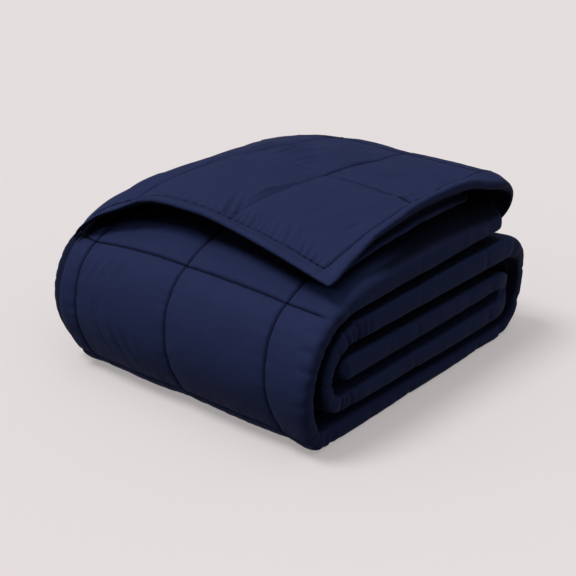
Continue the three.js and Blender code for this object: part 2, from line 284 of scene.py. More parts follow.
# How much further back two folds reach there, and how far that goes along the strip.
BACK_FOLDS = (("core back", 29, 85), ("outer back", 11, 85))

# The hem at the right of the flap stands up from the fold below it: place along the strip and share.
HEM_OPEN = (
    (2000, 0), (2031, 0.2), (2069, 0.5), (2124, 0.85), (2160, 1), (2250, 1), (2290, 0.55), (2324, 0),
)
HEM_RISE = 6.5
HEM_BACK = 9
HEM_RISE_REACH = (158, 30)

# Spans along the strip: start and its blend, end and its blend.
BACK_CORNER_DROP = 9  # how much lower the flap's right corner at the back lies
BACK_CORNER_REACH = (164, 26)
BACK_CORNER_SPAN = (1955, 55, 2095, 55)
FLAP_BACK_RECESS = 22  # how far the fold inside the flap's back is set back
RECESS_SPAN = (1952, 34, 2090, 55)


def box_puff(share):
    """Puff from 0 on a sewn line to 1 in the middle of a box."""
    return np.sin(np.pi * np.clip(share, 0, 1)) ** BOX_FULLNESS


def hem_puff(share):
    """Puff of a hem from 0 on its sewn line to 1 at its edge, round like a tube."""
    return np.sqrt(1 - (1 - np.clip(share, 0, 1)) ** 2)


def puff_along(s):
    first, last = SEWN_AT[0], SEWN_AT[-1]
    if s >= last:
        return hem_puff((s - last) / (LENGTH - last))
    if s <= first:
        return hem_puff((first - s) / first)
    i = np.searchsorted(SEWN_AT, s, side="right")
    return box_puff((s - SEWN_AT[i - 1]) / (SEWN_AT[i] - SEWN_AT[i - 1]))


class Noise:
    """Smooth seeded noise from -1 to 1 over one or two lengths."""

    def __init__(self):
        self.table = rng.uniform(-1, 1, (NOISE_CELLS, NOISE_CELLS))

    def corner(self, i, j):
        return self.table[i % NOISE_CELLS, j % NOISE_CELLS]

    def __call__(self, u, v=0.0):
        u, v = np.broadcast_arrays(np.asarray(u, float), np.asarray(v, float))
        i, j = np.floor(u).astype(int), np.floor(v).astype(int)
        along = smooth(u - i)
        near = mix(self.corner(i, j), self.corner(i + 1, j), along)
        far = mix(self.corner(i, j + 1), self.corner(i + 1, j + 1), along)
        return mix(near, far, smooth(v - j))


WIDE_NOISE = Noise()
SMALL_NOISE = Noise()
PUCKER_NOISE = Noise()
END_NOISE = Noise()

UNEVEN_WIDE = 0.8  # height of the filling's slow unevenness
UNEVEN_SMALL = 0.3
WIDE_CELL = 48
SMALL_CELL = 17
PUCKER_CELL = 4.6  # half the distance from one pucker to the next
PUCKER_REACH = 5  # how far from the line the puckers are highest
PUCKER_HEIGHT = 0.7
PUCKER_FAR = 60  # past this they aren't worked out
PUCKER_ROW = 7.3  # from one line's row of the noise to the next
PUCKER_SIDE = 0.5  # the same from one side of a line to the other
FACE_SHIFT = 31  # from one face's rows of the noise to the other's
LINES_ALONG = 3  # sewn lines that run along the strip
LINE_REACH = 4  # widths of a line past which it isn't worked out
GROOVE_DEPTH = 1.7  # the thread's own narrow groove
GROOVE_WIDE = 1.5
GROOVE_SHADE_WIDE = 1.2  # half the width of the painted shade along it
GROOVE_SHADE = 0.72  # how dark the painted shade in that line's groove is
HIDDEN_SHARE = 0.2  # how much of a line shows where the filling hides it
HIDDEN_BLEND = 40
SHOWN_BEHIND = 2195  # where the flap's middle line starts to show
SHOWN_RIGHT_OF = 40  # the same in x for its cross line

# Creases listed on the two faces: x and place along the strip of the middle, reach from there to
# the end, bow, half the width, and height, which is below 0 for a trough.
CREASES = {
    "inner": (
        (-33, 2126, 5, -34, 3, 3.2, 1.3), (-25, 2132, 8, -36, 3, 2.6, -0.9), (-16, 2137, 11, -30, 3, 3, 1.4),
        (-8, 2140, 10, -26, 2, 2.4, -0.9), (2, 2145, 10, -20, 2, 2.6, 1.2), (10, 2146, 9, -18, 2, 2.2, -0.8),
        (17, 2148, 13, -19, 2, 2.6, 1.1), (-55, 2128, 6, -30, 5, 4, -0.9), (-73, 2124, 4, -36, 6, 4, 1.2),
        (40, 2120, 14, -26, -4, 5, 0.9), (96, 2120, 16, -30, -4, 6, 0.8), (122, 2126, 8, -30, 4, 5, -0.7),
        (-30, 2182, 56, -7, 4, 5.5, 1.8), (-33, 2206, 26, -9, 7, 4.5, -1.3),
        (-30, 2236, 42, -13, 4, 5.5, 1.1), (-92, 2232, 12, -26, 5, 5, -1), (-80, 2215, 14, -30, 6, 4, 0.9),
        (34, 2238, 8, -36, 3, 3.4, 1.5), (72, 2206, 36, -11, -5, 2.8, 1.3),
        (74, 2196, 28, -7, -4, 3.2, -0.9), (88, 2175, 30, 3, -3, 4, 1.3), (106, 2248, 2, -20, 2, 3.5, -0.7),
        (132, 2222, 14, -22, 4, 5, 0.6), (146, 2180, 16, -8, 0, 2.6, -1.3), (150, 2164, 13, -8, 0, 2.6, 1.2),
        (156, 2150, 8, -14, 0, 2.4, -0.9), (148, 2246, 5, -16, 0, 3, -0.8), (-128, 2262, 5, -24, 3, 4, 1),
        (-112, 2272, 6, -16, 2, 3, -0.8),
    ),
    "outer": (
        (-129, 1617, 5, 15, 1, 1.8, -0.7), (-121, 1620, 5, 17, 1, 1.7, 0.6),
        (-113, 1619, 6, 18, 1, 1.8, -0.8), (-104, 1621, 7, 17, 1, 1.7, 0.7),
        (-95, 1618, 5, 15, 1, 1.8, -0.7), (-86, 1620, 5, 14, 1, 1.9, 0.6), (-77, 1616, 4, 13, 1, 1.8, -0.5),
        (-64, 1622, 4, 11, 1, 1.8, -0.4), (-97, 1590, 3, 18, 2, 2.2, -0.4), (-112, 1584, 2, 20, 2, 2.4, 0.4),
        (-78, 1550, 11, -19, 2, 1.9, 0.5), (-70, 1549, 11, -20, 2, 1.9, -0.5),
        (-61, 1551, 10, -19, 2, 1.9, 0.5), (-52, 1550, 9, -17, 2, 1.9, -0.5),
        (-42, 1552, 8, -15, 2, 1.9, 0.4), (-92, 1548, 10, -18, 2, 2.2, -0.4),
        (-60, 1672, 4, 14, 0, 2.2, -0.7), (-100, 1670, 3, 12, 0, 2.2, -0.7), (40, 1668, 2, 12, 0, 2.4, -0.5),
        (90, 1664, 3, 12, 0, 2.2, -0.5), (180, 1628, 9, 5, 0, 1.7, -0.8), (183, 1619, 8, 4, 0, 1.6, 0.6),
        (180, 1610, 10, 4, 0, 1.7, -0.8), (184, 1601, 7, 2, 0, 1.6, 0.5), (182, 1592, 8, 1, 0, 1.7, -0.7),
        (184, 1582, 7, 0, 0, 1.6, 0.5), (183, 1573, 8, -1, 0, 1.7, -0.6), (184, 1563, 7, -2, 0, 1.6, 0.5),
        (182, 1554, 9, -3, 0, 1.7, -0.7), (184, 1545, 7, -3, 0, 1.6, 0.5), (181, 1536, 9, -4, 0, 1.7, -0.8),
        (181, 1640, 9, 4, 0, 1.7, -0.7), (183, 1652, 8, 4, 0, 1.7, 0.5), (182, 1664, 8, 4, 0, 1.7, -0.6),
    ),
}

# Pinches where the sewn line of the flap's hem gathers the cloth: x, length, depth and half the width.
PINCHES = (
    (-118, 8, 0.7, 2.4), (-100, 9, 0.8, 2.4), (-82, 10, 0.9, 2.4), (-66, 7, 0.7, 2.2), (-52, 9, 0.9, 2.4),
    (-37, 7, 0.8, 2.2), (-24, 11, 1, 2.4), (-12, 8, 0.9, 2.2), (0, 9, 1, 2.2), (12, 12, 1.2, 2.4),
    (26, 26, 2.6, 3.2), (38, 15, 1.5, 2.4), (46, 11, 1.2, 2.2), (54, 18, 1.7, 2.4), (63, 12, 1.3, 2.2),
    (70, 19, 1.7, 2.4), (78, 12, 1.3, 2.2), (85, 16, 1.5, 2.4), (94, 13, 1.4, 2.2), (102, 11, 1.2, 2.2),
    (110, 21, 2.2, 2.8), (118, 11, 1.3, 2.2), (125, 14, 1.5, 2.2), (133, 12, 1.3, 2.2), (142, 10, 1.2, 2.2),
    (151, 9, 1.1, 2.2), (159, 7, 0.9, 2),
)
PINCH_LEAN = -0.4
PINCH_START = 0.5  # share of its depth at the sewn line
PINCH_START_REACH = 6
CREASE_SCALE = 2
CREASE_REACH = 3  # half widths past which a crease isn't worked out
PINCH_SCALE = 2.1
PINCH_STRETCH = 1.9
PINCH_WIDEN = 1.2
PINCH_RIDGE = 0.6  # height of the ridge beside it, as a share of its depth
RIDGE_OFF = 1.6  # how far off the ridge is, in half widths


def creases(face, s, x):
    """Height of the creases listed for a face."""
    height = np.zeros_like(x)
    for middle_x, middle_s, reach_x, reach_s, bow, wide, high in CREASES[face]:
        if abs(s - middle_s) > abs(reach_s) + abs(bow) + CREASE_REACH * wide:
            continue
        reach = math.hypot(reach_x, reach_s)
        along = ((x - middle_x) * reach_x + (s - middle_s) * reach_s) / reach**2
        taper = np.clip(1 - along**2, 0, 1)
        off = ((x - middle_x) * reach_s - (s - middle_s) * reach_x) / reach - bow * taper
        height += CREASE_SCALE * high * taper * np.exp(-((off / wide) ** 2))
    return height


def pinches(s, x):
    """Depth of the pinches behind the sewn line of the flap's hem."""
    behind = SEWN_AT[-1] - s
    depth = np.zeros_like(x)
    if behind < 0:
        return depth
    for middle, length, deep, wide in PINCHES:
        share = behind / (PINCH_STRETCH * length)
        if share < 1:
            off = (x - middle - PINCH_LEAN * behind) / (PINCH_WIDEN * wide)
            form = np.exp(-(off**2)) - PINCH_RIDGE * np.exp(-((off - RIDGE_OFF) ** 2))
            start = mix(PINCH_START, 1, smooth(behind / PINCH_START_REACH))
            depth += PINCH_SCALE * deep * start * (1 - share) * form
    return depth


def pucker(distance, place, line):
    """Height of the small uneven folds that run away from a sewn line."""
    far = np.abs(distance) / PUCKER_REACH
    row = PUCKER_ROW * line + np.where(distance > 0, PUCKER_SIDE, 0.0)
    return PUCKER_HEIGHT * far * np.exp(1 - far) * PUCKER_NOISE(place / PUCKER_CELL, row)


def line_strength(spot, face, across, x, wide):
    """How strongly sewn lines show on a face, from 0 to 1. The filling hides parts of the flap's."""
    s, hem = spot.along, spot.hem[face]
    on_flap = face == "inner"
    best = np.zeros(len(across))
    lines = [
        (across - hem - spot.box * k, s - SEWN_AT[-1], k == 1, SHOWN_BEHIND - s)
        for k in range(LINES_ALONG)
    ]
    lines += [
        (SEWN_AT[k] - s, hem - across, k == len(SEWN_AT) - 2, x - SHOWN_RIGHT_OF)
        for k in np.flatnonzero(np.abs(SEWN_AT - s) < LINE_REACH * wide)
    ]
    for off, on_hem, is_hidden, to_shown in lines:
        shown = 1.0
        if on_flap:
            off = np.hypot(off, np.maximum(0, on_hem))
        if on_flap and is_hidden:
            shown = mix(HIDDEN_SHARE, 1, smooth(to_shown / HIDDEN_BLEND))
        best = np.maximum(best, shown * np.exp(-((off / wide) ** 2)))
    return best * spot.lines


def relief(spot, face, across, x):
    """How far the cloth of a visible face stands out from its plain form."""
    s = spot.along
    shift = 0.0 if face == "outer" else FACE_SHIFT
    height = UNEVEN_WIDE * WIDE_NOISE(x / WIDE_CELL, s / WIDE_CELL + shift)
    height = height + UNEVEN_SMALL * SMALL_NOISE(x / SMALL_CELL, s / SMALL_CELL + shift)
    for k, line in enumerate(spot.hem[face] + spot.box * np.arange(LINES_ALONG)):
        height = height + pucker(across - line, s, k + shift)
    for k in np.flatnonzero(np.abs(SEWN_AT - s) < PUCKER_FAR):
        height = height + pucker(s - SEWN_AT[k], x, LINES_ALONG + k + shift)
    height = height + creases(face, s, x)
    if face == "inner":
        height = height - pinches(s, x)
    height = height - GROOVE_DEPTH * line_strength(spot, face, across, x, GROOVE_WIDE)
    return height * spot.detail


def station_at(s):
    """Sizes of the strip at a place along it."""
    spot = SimpleNamespace(**{key: np.interp(s, STRIP["along"], row) for key, row in STRIP.items()})
    spot.along = s
    turn = math.hypot(spot.ty, spot.tz)
    spot.ty /= turn
    spot.tz /= turn
    flap, inset = spot.flap, spot.inset
    ends = {name: mix(ROLL_ENDS[name], FLAP_ENDS[name], flap) for name in END_NAMES}
    to_edge = max(0.0, min(s, LENGTH - s))
    edge_round = EDGE_ROUND if s < LENGTH / 2 else HEM_EDGE_ROUND
    rounding = math.sqrt(1 - (1 - min(1.0, to_edge / edge_round)) ** 2)
    to_end = max(0.0, LENGTH - s)
    before_line = SEWN_AT[-1] - s
    hem_low = smooth(1 - before_line / HEM_DROP_REACH) if before_line > 0 else smooth(to_end / FLAP_HEM)
    spot.z -= HEM_DROP * hem_low
    plump = mix(1, HEM_PLUMP, smooth((FLAP_HEM - to_end) / HEM_BLEND))
    half = spot.thick / 2 * mix(EDGE_SHARE, 1, rounding) * plump
    spot.half = half
    spot.detail = rounding
    spot.ripple = puff_along(s)
    cut = {}
    for side, radius in CORNER_ROUND.items():
        to_corner = max(0.0, 1 - to_end / radius)
        cut[side] = radius * (1 - math.sqrt(1 - to_corner**2))
    left_cut = LEFT_INSET * inset + cut["left"]
    hem_open = np.interp(s, *zip(*HEM_OPEN))
    recess = window(s, *RECESS_SPAN)
    spot.right_fold = ends["right_fold"] - inset - FLAP_BACK_RECESS * recess
    spot.right_hem = ends["right_hem"] - inset - cut["right"] - HEM_BACK * hem_open
    spot.left_fold = ends["left_fold"] + left_cut
    spot.left_hem = ends["left_hem"] + left_cut
    spot.left_sheet = min(ends["left_sheet"], half)
    spot.right_sheet = min(ends["right_sheet"], SHEET_SHARE * 2 * half)
    spot.left_slit = min(ends["left_slit"], SLIT_SHARE * 2 * half) / 2
    spot.right_slit = min(ends["right_slit"], SLIT_SHARE * 2 * half) / 2
    spot.slit_depth = mix(1, SLIT_DEPTH, rounding)
    spot.right_split = spot.right_sheet - half
    back_start, back_end = SPANS["flap back"]
    at_back = window(s, back_start - BACK_BLEND / 2, BACK_BLEND, back_end + 1.5 * BACK_BLEND, BACK_BLEND)
    spot.lines = mix(1, BACK_SHARE, at_back)
    spot.sunk_share = mix(SUNK_SHARE, HEM_SUNK_SHARE, smooth(1 - before_line / HEM_SUNK_BLEND))
    spot.lifted = window(s, SPANS["shoulder"][0], LIFT_BLENDS[0], SPANS["top"][1], LIFT_BLENDS[1])
    spot.at_hem = smooth(1 - to_end / HEM_LEFT_REACH)
    spot.right_lift = np.interp(s, RIGHT_PLACES, RIGHT_LIFTS)
    spot.right_squeeze = np.interp(s, RIGHT_PLACES, RIGHT_SQUEEZES)
    spot.right_pull = CORE_FRONT_BACK * (1 - smooth(s / CORE_FRONT_REACH))
    for name, reach, reach_along in BACK_FOLDS:
        spot.right_pull += reach * smooth(1 - abs(s - sum(SPANS[name]) / 2) / reach_along)
    spot.corner_drop = BACK_CORNER_DROP * window(s, *BACK_CORNER_SPAN)
    spot.hem_rise = HEM_RISE * hem_open
    spot.hem = {"outer": HEM, "inner": HEM - HEM_BACK * hem_open}
    to_hem = min(1.0, max(0.0, (spot.y - FLAP_BACK_Y) / (FLAP_HEM_Y - FLAP_BACK_Y)))
    spot.to_hem = flap * to_hem
    spot.box = BOX * (1 - FLAP_NARROWING * flap * (1 - to_hem))
    return spot


def face_limits(spot, face):
    """A face's hem edge, its folded end, and the thickness of the cloth at each."""
    double = 2 * spot.half
    if face == "outer":
        return spot.left_hem, spot.right_fold, spot.left_sheet, double - spot.right_sheet
    return spot.right_hem, spot.left_fold, spot.right_sheet, double - spot.left_sheet


def face_columns(spot, face, fineness):
    """Distances of a face's columns from its hem edge."""
    hem_edge, fold_end, _, _ = face_limits(spot, face)
    hem_count, box_count, rest_count = COLUMN_COUNTS[fineness]
    even = np.arange(box_count) / box_count
    crowded = even - COLUMN_CROWDING * np.sin(2 * np.pi * even) / (2 * np.pi)
    width = abs(fold_end - hem_edge) - FOLD_ROUND
    box, hem = spot.box, spot.hem[face]
    return np.concatenate([
        np.linspace(HEM_ROUND, hem, hem_count, endpoint=False),
        hem + crowded * box,
        hem + box + crowded * box,
        np.linspace(hem + 2 * box, width, rest_count),
    ])


def face_points(spot, face, across, detailed=True):
    """x and w of points of a face at distances from its hem edge."""
    hem_edge, fold_end, hem_thick, fold_thick = face_limits(spot, face)
    x = hem_edge + math.copysign(1, fold_end - hem_edge) * across
    hem_depth = min(SEWN_DEPTH, SEWN_SHARE * hem_thick)
    fold_depth = min(SEWN_DEPTH, SEWN_SHARE * fold_thick)
    hem = spot.hem[face]
    box = (across - hem) / spot.box
    puff = np.where(box < 0, hem_puff((hem - across) / hem), box_puff(np.mod(box, 1)))
    to_fold = mix(SEWN_DEPTH, fold_depth, smooth(box - 1))
    depth = np.where(box < 1, mix(hem_depth, SEWN_DEPTH, smooth(box)), to_fold)
    from_fold = abs(fold_end - hem_edge) - across
    crossing = mix(ENDS_SHARE, 1, smooth(from_fold / ENDS_FADE))
    if spot.flap > 0:
        crossing = crossing * mix(HEM_LINE_SHARE, 1, smooth((across - hem / 2) / (hem / 2)))
        past_hem = ramp(spot.along, SEWN_AT[-1], HEM_BLEND)
        puff = mix(puff, np.where(box < 0, puff, 1 - HEM_LINE_SHARE * (1 - puff)), past_hem)
    ripple = 1 - crossing * (1 - spot.ripple)
    depth = np.minimum(depth, spot.half * spot.sunk_share)
    sunk = depth * (1 - puff * ripple) * spot.lines
    raised = relief(spot, face, across, x) if detailed else 0.0
    way = 1 if face == "outer" else -1
    return x, way * (spot.half - sunk + raised)


def edge_arc(name, edge, reach, start, stop, fullnesses=(END_FULLNESS, END_FULLNESS)):
    """Points round an edge at x from one height to another, without the two ends."""
    way = -1 if name.startswith("left") else 1
    count = ARC_POINTS[name]
    angle = np.pi * np.arange(1, count + 1) / (count + 1)
    fullness = np.where(angle < np.pi / 2, *fullnesses)
    across = np.sin(angle) ** fullness
    rise = np.sign(np.cos(angle)) * np.abs(np.cos(angle)) ** fullness
    return edge - way * reach * (1 - across), mix(start, stop, (1 - rise) / 2)


# Unevenness of the folded ends.
END_CELL = 13
END_RIPPLE = 0.4
END_RIPPLE_CELL = 4.2
SEAM_DENT = 0.6  # how far a sewn line draws them in
SEAM_DENT_REACH = 5
WAVE_ROW = 0.5  # rows of the noise
RIPPLE_ROW = 9.5

# Notches in the folded ends where a fold crumples: place along the strip, depth and half the width.
NOTCHES = (
    (0, 6, 3.5), (270, 1.5, 5), (311, 9, 17), (352, 1.5, 5), (592, 1.2, 2.4), (601, 6, 1.9),
    (610, 2, 1.8), (617, 4.5, 1.8), (636, 1.2, 2.2), (655, 2.2, 2), (662, 1, 2), (690, 1.6, 2.2),
    (707, 3.2, 1.9), (714, 1.2, 1.8), (724, 6.5, 2), (733, 2.6, 1.8), (741, 1.2, 2.2),
    (1022, 2, 3), (1083, 8, 42), (1110, 2, 3.5), (1150, 2.5, 3),
    (1458, 1.5, 3), (1470, 4.5, 2.6), (1484, 2, 2.6), (1497, 4.5, 2.8), (1512, 1.8, 2.6),
    (1530, 0.9, 2.4), (1546, 0.7, 2.4), (1560, 0.9, 2.4), (1577, 0.7, 2.4), (1592, 1, 2.6),
    (1606, 0.7, 2.4), (1619, 1.2, 2.6), (1634, 0.7, 2.4), (1650, 0.9, 2.6), (1668, 0.7, 2.6),
)
BESIDE_NOTCH = (0, 0.6, 1.3)  # steps on both sides of a notch, in half widths
LEAST_END_ROUND = 3


def end_dent(spot):
    """How far the folded ends of a layer are drawn in."""
    s = spot.along
    near_line = np.exp(-((np.abs(SEWN_AT - s).min() / SEAM_DENT_REACH) ** 2))
    wave = (1 + END_NOISE(s / END_CELL, WAVE_ROW)) / 2
    wave = wave + END_RIPPLE * END_NOISE(s / END_RIPPLE_CELL, RIPPLE_ROW)
    notch = sum(deep * math.exp(-(((s - middle) / wide) ** 2)) for middle, deep, wide in NOTCHES)
    dent = END_DENT * (1 - spot.ripple) + float(SEAM_DENT * near_line + wave) + notch
    return min(dent, FOLD_ROUND - LEAST_END_ROUND)


def outline(spot, finenesses):
    """The closed outline across the strip, as four rows of points: outer face, left, inner face, right."""
    faces = {}
    for face, fineness in finenesses.items():
        columns = face_columns(spot, face, fineness)
        faces[face] = face_points(spot, face, columns, fineness != "plain")
    (outer_x, outer_w), (inner_x, inner_w) = faces["outer"], faces["inner"]
    dent = end_dent(spot)
    fold_round = FOLD_ROUND - dent
    left_split, left_slit = spot.half - spot.left_sheet, spot.left_slit
    right_split, right_slit = spot.right_split, spot.right_slit
    left_bottom = max(spot.left_fold, spot.left_hem) + spot.slit_depth
    right_bottom = min(spot.right_fold, spot.right_hem) - spot.slit_depth
    left_fold, right_fold = spot.left_fold + dent, spot.right_fold - dent
    is_inner = spot.along <= SPANS["outer back"][0]
    fullnesses = (INNER_FULLNESS, INNER_FULLNESS if is_inner else END_FULLNESS)
    arcs = (
        edge_arc("left_hem", spot.left_hem, HEM_ROUND, outer_w[0], left_split + left_slit),
        ([left_bottom], [left_split]),
        edge_arc("left_fold", left_fold, fold_round, left_split - left_slit, inner_w[-1]),
        edge_arc("right_hem", spot.right_hem, HEM_ROUND, inner_w[0], right_split - right_slit),
        ([right_bottom], [right_split]),
        edge_arc("right_fold", right_fold, fold_round, right_split + right_slit, outer_w[-1], fullnesses),
    )
    left, right = ([np.concatenate(row) for row in zip(*side)] for side in (arcs[:3], arcs[3:]))
    return [(outer_x[::-1], outer_w[::-1]), left, (inner_x[::-1], inner_w[::-1]), right]


def place(spot, x, w):
    """Points of an outline in space. A layer sags from its crest to both ends and is thinner at the left."""
    to_hem, crest = spot.to_hem, spot.crest
    is_left = x < crest
    end = np.where(is_left, ROLL_ENDS["left_fold"], ROLL_ENDS["right_fold"])
    share = (x - crest) / (end - crest)
    left_power, right_power = (mix(SAG_POWER, HEM_SAG_POWER[side], to_hem**2) for side in ("left", "right"))
    drop = np.where(is_left, spot.left * share**left_power, spot.right * share**right_power)
    left_squeeze = mix(ROLL_SQUEEZE, FLAP_SQUEEZE, spot.flap) * share**SAG_POWER
    at_right = np.where(is_left, 0.0, share) ** RIGHT_POWER
    out = w * (1 - np.where(is_left, left_squeeze, spot.right_squeeze * at_right))
    above_slit = np.clip((spot.right_split - w) / (2 * spot.right_slit) + 0.5, 0, 1)
    hem_drop = HEM_LEFT_DROP * np.exp(-(((x - HEM_LEFT_AT) / HEM_LEFT_WIDE) ** 2))
    lift = (
        LEFT_LIFT * spot.lifted * ramp(x, *LIFT_REACH)
        + spot.right_lift * at_right
        + spot.hem_rise * above_slit * ramp(x, *HEM_RISE_REACH)
        + spot.left_rise * ramp(x, *FLAP_LEFT_REACH)
        + spot.end_rise * ramp(x, *FLAP_END_REACH)
        - spot.corner_drop * ramp(x, *BACK_CORNER_REACH)
        - spot.at_hem * (hem_drop + TIP_DROP * ramp(x, *TIP_REACH))
        - FLOOR_PRESS * ramp(spot.z, *PRESSED_REACH)
    )
    y = spot.y - spot.tz * out - FLAP_SLIDE * drop * to_hem**2 + spot.right_pull * at_right
    z = np.maximum(0.0, spot.z + spot.ty * out - drop + lift)
    return np.column_stack([x - FLAP_DRIFT * to_hem - ORIGIN_X, y - ORIGIN_Y, z])


# The flap lies on the roll towards its left end.
SEAT_REACH = (-105, -45)  # where its underside comes down
SEAT_GAP = 0.6
SEAT_MOST = 22
SEAT_STEP = 8
SEAT_HEM_GAP = 8  # from the hem's edge to where that starts
SEAT_HEM_BLEND = 32
ROLL_LEFT = -196
WITHIN_COLUMNS = 0.001


def roll_heights():
    """Columns of the roll's upper surface under the left end of the flap: x, and y and z along each."""
    columns = np.arange(ROLL_LEFT, SEAT_REACH[0] + 2 * SEAT_STEP, SEAT_STEP)
    rows = []
    for s in np.arange(SPANS["shoulder"][0], SPANS["top"][1], SEAT_STEP / 2):
        spot = station_at(s)
        rows.append(place(spot, columns, np.full(len(columns), spot.half)))
    rows = np.array(rows)
    return rows[0, :, 0], rows[:, :, 1], rows[:, :, 2]


ROLL_HEIGHTS = roll_heights()


def height_of_roll(x, y):
    columns, ys, zs = ROLL_HEIGHTS
    heights = np.array([np.interp(y, ys[:, k], zs[:, k]) for k in range(len(columns))])
    at = np.clip((x - columns[0]) / SEAT_STEP, 0, len(columns) - 1 - WITHIN_COLUMNS)
    k = at.astype(int)
    points = np.arange(len(x))
    return mix(heights[k, points], heights[k + 1, points], at - k)


def seated(spot, x, w, places):
    """Places of points of the flap, its underside brought down on to the roll at the left."""
    low = place(spot, x, np.full(len(x), spot.half))
    gap = np.clip(low[:, 2] - height_of_roll(low[:, 0], low[:, 1]) - SEAT_GAP, -SEAT_MOST, SEAT_MOST)
    share = ramp(x, *SEAT_REACH) * spot.flap
    share = share * smooth((LENGTH - SEAT_HEM_GAP - spot.along) / SEAT_HEM_BLEND)
    share = share * np.clip((1 + w / spot.half) / 2, 0, 1)
    return places - np.column_stack([np.zeros((len(x), 2)), share * gap])


def station_places():
    """Places of the mesh's rings along the strip, with the fineness of both faces there."""
    steady = []
    for name, (start, end) in SPANS.items():
        count = max(2, round((end - start) / STEPS[name]))
        steady.extend(np.linspace(start, end, count, endpoint=False))
    kept = [line + way * off for line in SEWN_AT for off in BESIDE_LINE for way in (-1, 1)]
    kept += [*BESIDE_EDGE, *(LENGTH - off for off in BESIDE_EDGE)]
    for at, _, wide in NOTCHES:
        if at < SPANS["outer back"][0]:
            kept += [at + way * off * wide for off in BESIDE_NOTCH for way in (-1, 1)]
    kept = np.unique(np.round([s for s in kept if 0 <= s <= LENGTH], 3))
    kept = kept[np.append(True, np.diff(kept) > LEAST_STEP)]
    apart = [s for s in steady if np.abs(kept - s).min() > CLEAR_STEP]
    rows = []
    for s in np.unique(np.concatenate([apart, kept])):
        name = next((n for n, (start, end) in SPANS.items() if start <= s < end), "flap")
        outer = OUTER_FINENESS.get(name, "plain")
        if name == "top" and np.interp(s, STRIP["along"], STRIP["y"]) > FINE_TOP_Y:
            outer = "plain"
        rows.append((float(s), {"outer": outer, "inner": INNER_FINENESS.get(name, "plain")}))
    return rows


def zipped(first, second, first_share, second_share):
    """Triangles between two rows of points of unequal count."""
    triangles = []
    i = j = 0
    while i + 1 < len(first) or j + 1 < len(second):
        if j + 1 >= len(second) or (i + 1 < len(first) and first_share[i + 1] <= second_share[j + 1]):
            triangles.append((first[i], second[j], first[i + 1]))
            i += 1
        else:
            triangles.append((first[i], second[j], second[j + 1]))
            j += 1
    return triangles


def cap_faces(ring):
    """Triangles that close an outline: strips from face to face, and a cell at each end."""
    (outer, outer_x, _), (_, left_x, _), (inner, inner_x, _), (_, right_x, _) = ring
    low, high = left_x.max(), right_x.min()
    top = np.flatnonzero((outer_x > low) & (outer_x < high))[::-1]
    bottom = np.flatnonzero((inner_x > low) & (inner_x < high))
    triangles = zipped(outer[top].tolist(), inner[bottom].tolist(), outer_x[top], inner_x[bottom])
    numbers = np.concatenate([row[0] for row in ring])
    flat = np.concatenate([np.column_stack([row[1], row[2]]) for row in ring])
    for start, stop in ((outer[top[0]], inner[bottom[0]]), (inner[bottom[-1]], outer[top[-1]])):
        first = start - numbers[0]
        count = (stop - start) % len(numbers)
        cell = [(first + k) % len(numbers) for k in range(count + 1)]
        corners = [Vector((*flat[k], 0)) for k in cell]
        for three in tessellate_polygon([corners]):
            a, b, c = (flat[cell[k]] for k in three)
            turn = (b[0] - a[0]) * (c[1] - a[1]) - (b[1] - a[1]) * (c[0] - a[0])
            ordered = three if turn > 0 else three[::-1]
            triangles.append(tuple(int(numbers[cell[k]]) for k in ordered))
    return triangles


def make_cloth():
    """The whole strip as one closed mesh, with the cloth's own coordinates and its painted shade at each
    point.
    """
    points, cloth, painted_shades, faces, rings = [], [], [], [], []
    count = 0
    for s, finenesses in station_places():
        spot = station_at(s)
        ring = []
        for number, (x, w) in enumerate(outline(spot, finenesses)):
            x, w = np.asarray(x, float), np.asarray(w, float)
            places = place(spot, x, w)
            points.append(seated(spot, x, w, places) if spot.flap > 0 else places)
            painted_shades.append(painted_shade_share(spot, number, x))
            cloth.append(np.column_stack([x, np.full(len(x), s), np.full(len(x), float(number))]))
            ring.append((np.arange(count, count + len(x)), x, w))
            count += len(x)
        rings.append(ring)
    for ring, following in zip(rings, rings[1:]):
        for k in range(len(ring)):
            rows = []
            for r in (ring, following):
                after = r[(k + 1) % len(ring)]
                numbers, xs = np.append(r[k][0], after[0][0]), np.append(r[k][1], after[1][0])
                rows.append((numbers, (xs - xs[0]) / (xs[-1] - xs[0])))
            (a, a_share), (b, b_share) = rows
            if len(a) == len(b):
                faces.extend(zip(a[:-1].tolist(), b[:-1].tolist(), b[1:].tolist(), a[1:].tolist()))
            else:
                faces.extend(zipped(a.tolist(), b.tolist(), a_share, b_share))
    faces.extend(cap_faces(rings[0]))
    faces.extend(tuple(reversed(three)) for three in cap_faces(rings[-1]))
    return np.concatenate(points), np.concatenate(cloth), np.concatenate(painted_shades), faces


# Where no light comes in between the layers, shade is painted into the cloth's colour.
GAP_SHADE = 0.98
ARC_BORDER = 0.15  # share of a folded end that is painted dark at each hidden side of it
BACK_BORDER = 0.75  # the same at the inner side of the fold at the back
FLAP_BORDER = 0.42  # the same below the hem at the right of the flap
LEFT_BORDER = 0.32  # the same beside the hem at the left
TOP_BORDER = 0.42  # the same at the top layer's upper side, under the flap
TOP_BORDER_REACH = (1690, 60)
FAR_SHARE = 0.7  # share of an upper border in which the painted shade sets in
HEM_LIT_REACH = (1985, 55)  # behind this the flap's right hem is painted dark
# The line behind which the flap covers the top layer, which is painted in its shadow there: x, and place
# along the strip.
COVER_LINE = (
    (-165, 1624), (-153, 1643), (-147, 1661), (-137, 1674), (-110, 1681), (-20, 1682), (57, 1674),
    (127, 1669), (165, 1672),
)
COVER_BLEND = 6
LIT_END_REACH = (162, 20)  # end of the top layer that the flap leaves free of painted shadow
COVER_ALL_REACH = (1725, 70)
TURN_BLEND = 26
INSIDE_REACH = (2150, -85)  # behind this it is painted dark inside the flap's fold
